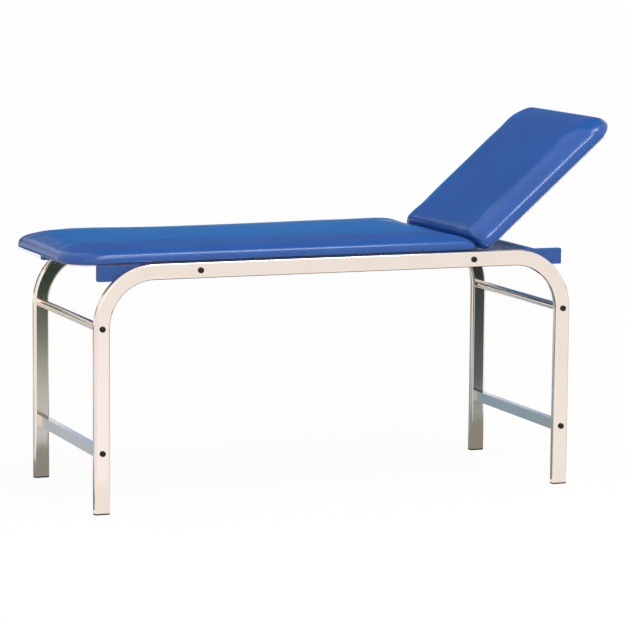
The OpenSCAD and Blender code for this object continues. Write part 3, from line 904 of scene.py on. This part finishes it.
def floor_material(white_share):
    """A pale floor that looks white and still takes the table's shadow."""
    material = bpy.data.materials.new("studio_floor")
    tree = blank_tree(material)
    output = tree.nodes.new("ShaderNodeOutputMaterial")
    mix = tree.nodes.new("ShaderNodeMixShader")
    matt = tree.nodes.new("ShaderNodeBsdfDiffuse")
    matt.inputs["Color"].default_value = FLOOR_COLOUR
    glow = tree.nodes.new("ShaderNodeEmission")
    glow.inputs["Strength"].default_value = 1
    share = tree.nodes.new("ShaderNodeMath")
    share.operation = "MULTIPLY"
    share.inputs[1].default_value = white_share
    tree.links.new(seen_directly(tree), share.inputs[0])
    tree.links.new(share.outputs[0], mix.inputs[0])
    tree.links.new(matt.outputs[0], mix.inputs[1])
    tree.links.new(glow.outputs[0], mix.inputs[2])
    tree.links.new(mix.outputs[0], output.inputs["Surface"])
    return material


def white_world(ambient):
    """Even light from all round, and plain white where the world is seen."""
    world = bpy.data.worlds.new("studio_world")
    tree = blank_tree(world)
    output = tree.nodes.new("ShaderNodeOutputWorld")
    mix = tree.nodes.new("ShaderNodeMixShader")
    light = tree.nodes.new("ShaderNodeBackground")
    light.inputs["Color"].default_value = AMBIENT_COLOUR
    light.inputs["Strength"].default_value = ambient
    white = tree.nodes.new("ShaderNodeBackground")
    white.inputs["Color"].default_value = (1, 1, 1, 1)
    white.inputs["Strength"].default_value = 1
    tree.links.new(seen_directly(tree), mix.inputs[0])
    tree.links.new(light.outputs[0], mix.inputs[1])
    tree.links.new(white.outputs[0], mix.inputs[2])
    tree.links.new(mix.outputs[0], output.inputs["Surface"])
    return world


def area_light(name, power, place, target, size, along, colour):
    """A rectangle of light that faces its target, its first side turned along a direction."""
    data = bpy.data.lights.new(name, "AREA")
    data.shape = "RECTANGLE"
    data.size, data.size_y = size
    data.energy = power
    data.color = colour
    obj = add_object(name, data)
    back = (Vector(place) - Vector(target)).normalized()
    up = back.cross(Vector(along)).normalized()
    side = up.cross(back)
    obj.matrix_world = Matrix.Translation(place) @ Matrix((side, up, back)).transposed().to_4x4()


def photo_camera(stage):
    """The camera at the photograph's viewing angle."""
    yaw, pitch, roll = stage.camera_yaw, stage.camera_pitch, stage.camera_roll
    ahead = Vector((
        math.sin(yaw) * math.cos(pitch), math.cos(yaw) * math.cos(pitch), -math.sin(pitch)))
    right = Vector((math.cos(yaw), -math.sin(yaw), 0))
    up = right.cross(ahead)
    right, up = (
        right * math.cos(roll) + up * math.sin(roll), up * math.cos(roll) - right * math.sin(roll))
    data = bpy.data.cameras.new("camera")
    data.lens = stage.lens
    data.sensor_width = SENSOR_WIDTH
    data.clip_start, data.clip_end = CLIP_NEAR, CLIP_FAR
    obj = add_object("camera", data)
    obj.matrix_world = Matrix.Translation(stage.camera_place) @ Matrix(
        (right, up, -ahead)).transposed().to_4x4()
    bpy.context.scene.camera = obj


class EXAMTABLE_OT_stage(bpy.types.Operator):
    """Set up the floor, the lights, the glowing cards that paint reflections, and the camera"""

    bl_idname = "examtable.stage"
    bl_label = "Stage"

    def execute(self, context):
        scene = context.scene
        stage = scene.exam_table.stage
        scene.view_settings.view_transform = "Standard"
        photo_camera(stage)
        half = stage.floor_half
        panel(
            "studio_floor", (-half, -half, 0), (2 * half, 0, 0), (0, 2 * half, 0),
            floor_material(stage.floor_white))
        scene.world = white_world(stage.ambient)
        # The cards are no lamps: they glow only to paint reflections and the shade in them
        for name, corner, across, up, axis, stops in PAINTED_REFLECTION_CARDS:
            glow = glow_material("studio_" + name + "_glow", axis, *stops)
            only_in_reflections(panel("studio_" + name + "_card", corner, across, up, glow))
        for name, *shape in LIGHTS:
            area_light(name + "_light", getattr(stage, name + "_power"), *shape)
        return {"FINISHED"}


class EXAMTABLE_PT_panel(bpy.types.Panel):
    """Shows the settings of the examination table and the buttons that build it"""

    bl_idname = "EXAMTABLE_PT_panel"
    bl_label = "Examination Table"
    bl_space_type = "VIEW_3D"
    bl_region_type = "UI"
    bl_category = "Exam Table"

    def draw(self, context):
        layout = self.layout
        settings = context.scene.exam_table
        for group in (settings.sizes, settings.colours, settings.stage):
            box = layout.box()
            for name in group.__annotations__:
                box.prop(group, name)
        column = layout.column(align=True)
        for operator in OPERATORS:
            column.operator(operator.bl_idname)


OPERATORS = (
    EXAMTABLE_OT_stage,
    EXAMTABLE_OT_chrome_frames,
    EXAMTABLE_OT_steel_hardware,
    EXAMTABLE_OT_black_plastic,
    EXAMTABLE_OT_covered_rails,
    EXAMTABLE_OT_boards,
    EXAMTABLE_OT_main_pad,
    EXAMTABLE_OT_head_pad,
    EXAMTABLE_OT_hems,
)
CLASSES = (
    ExamTableSizes, ExamTableColours, ExamTableStage, ExamTableSettings, *OPERATORS,
    EXAMTABLE_PT_panel,
)


def register():
    for cls in CLASSES:
        bpy.utils.register_class(cls)
    bpy.types.Scene.exam_table = PointerProperty(type=ExamTableSettings)


def unregister():
    del bpy.types.Scene.exam_table
    for cls in reversed(CLASSES):
        bpy.utils.unregister_class(cls)


def main():
    register()
    for operator in OPERATORS:
        group, name = operator.bl_idname.split(".")
        getattr(getattr(bpy.ops, group), name)()


if __name__ == "__main__":
    main()
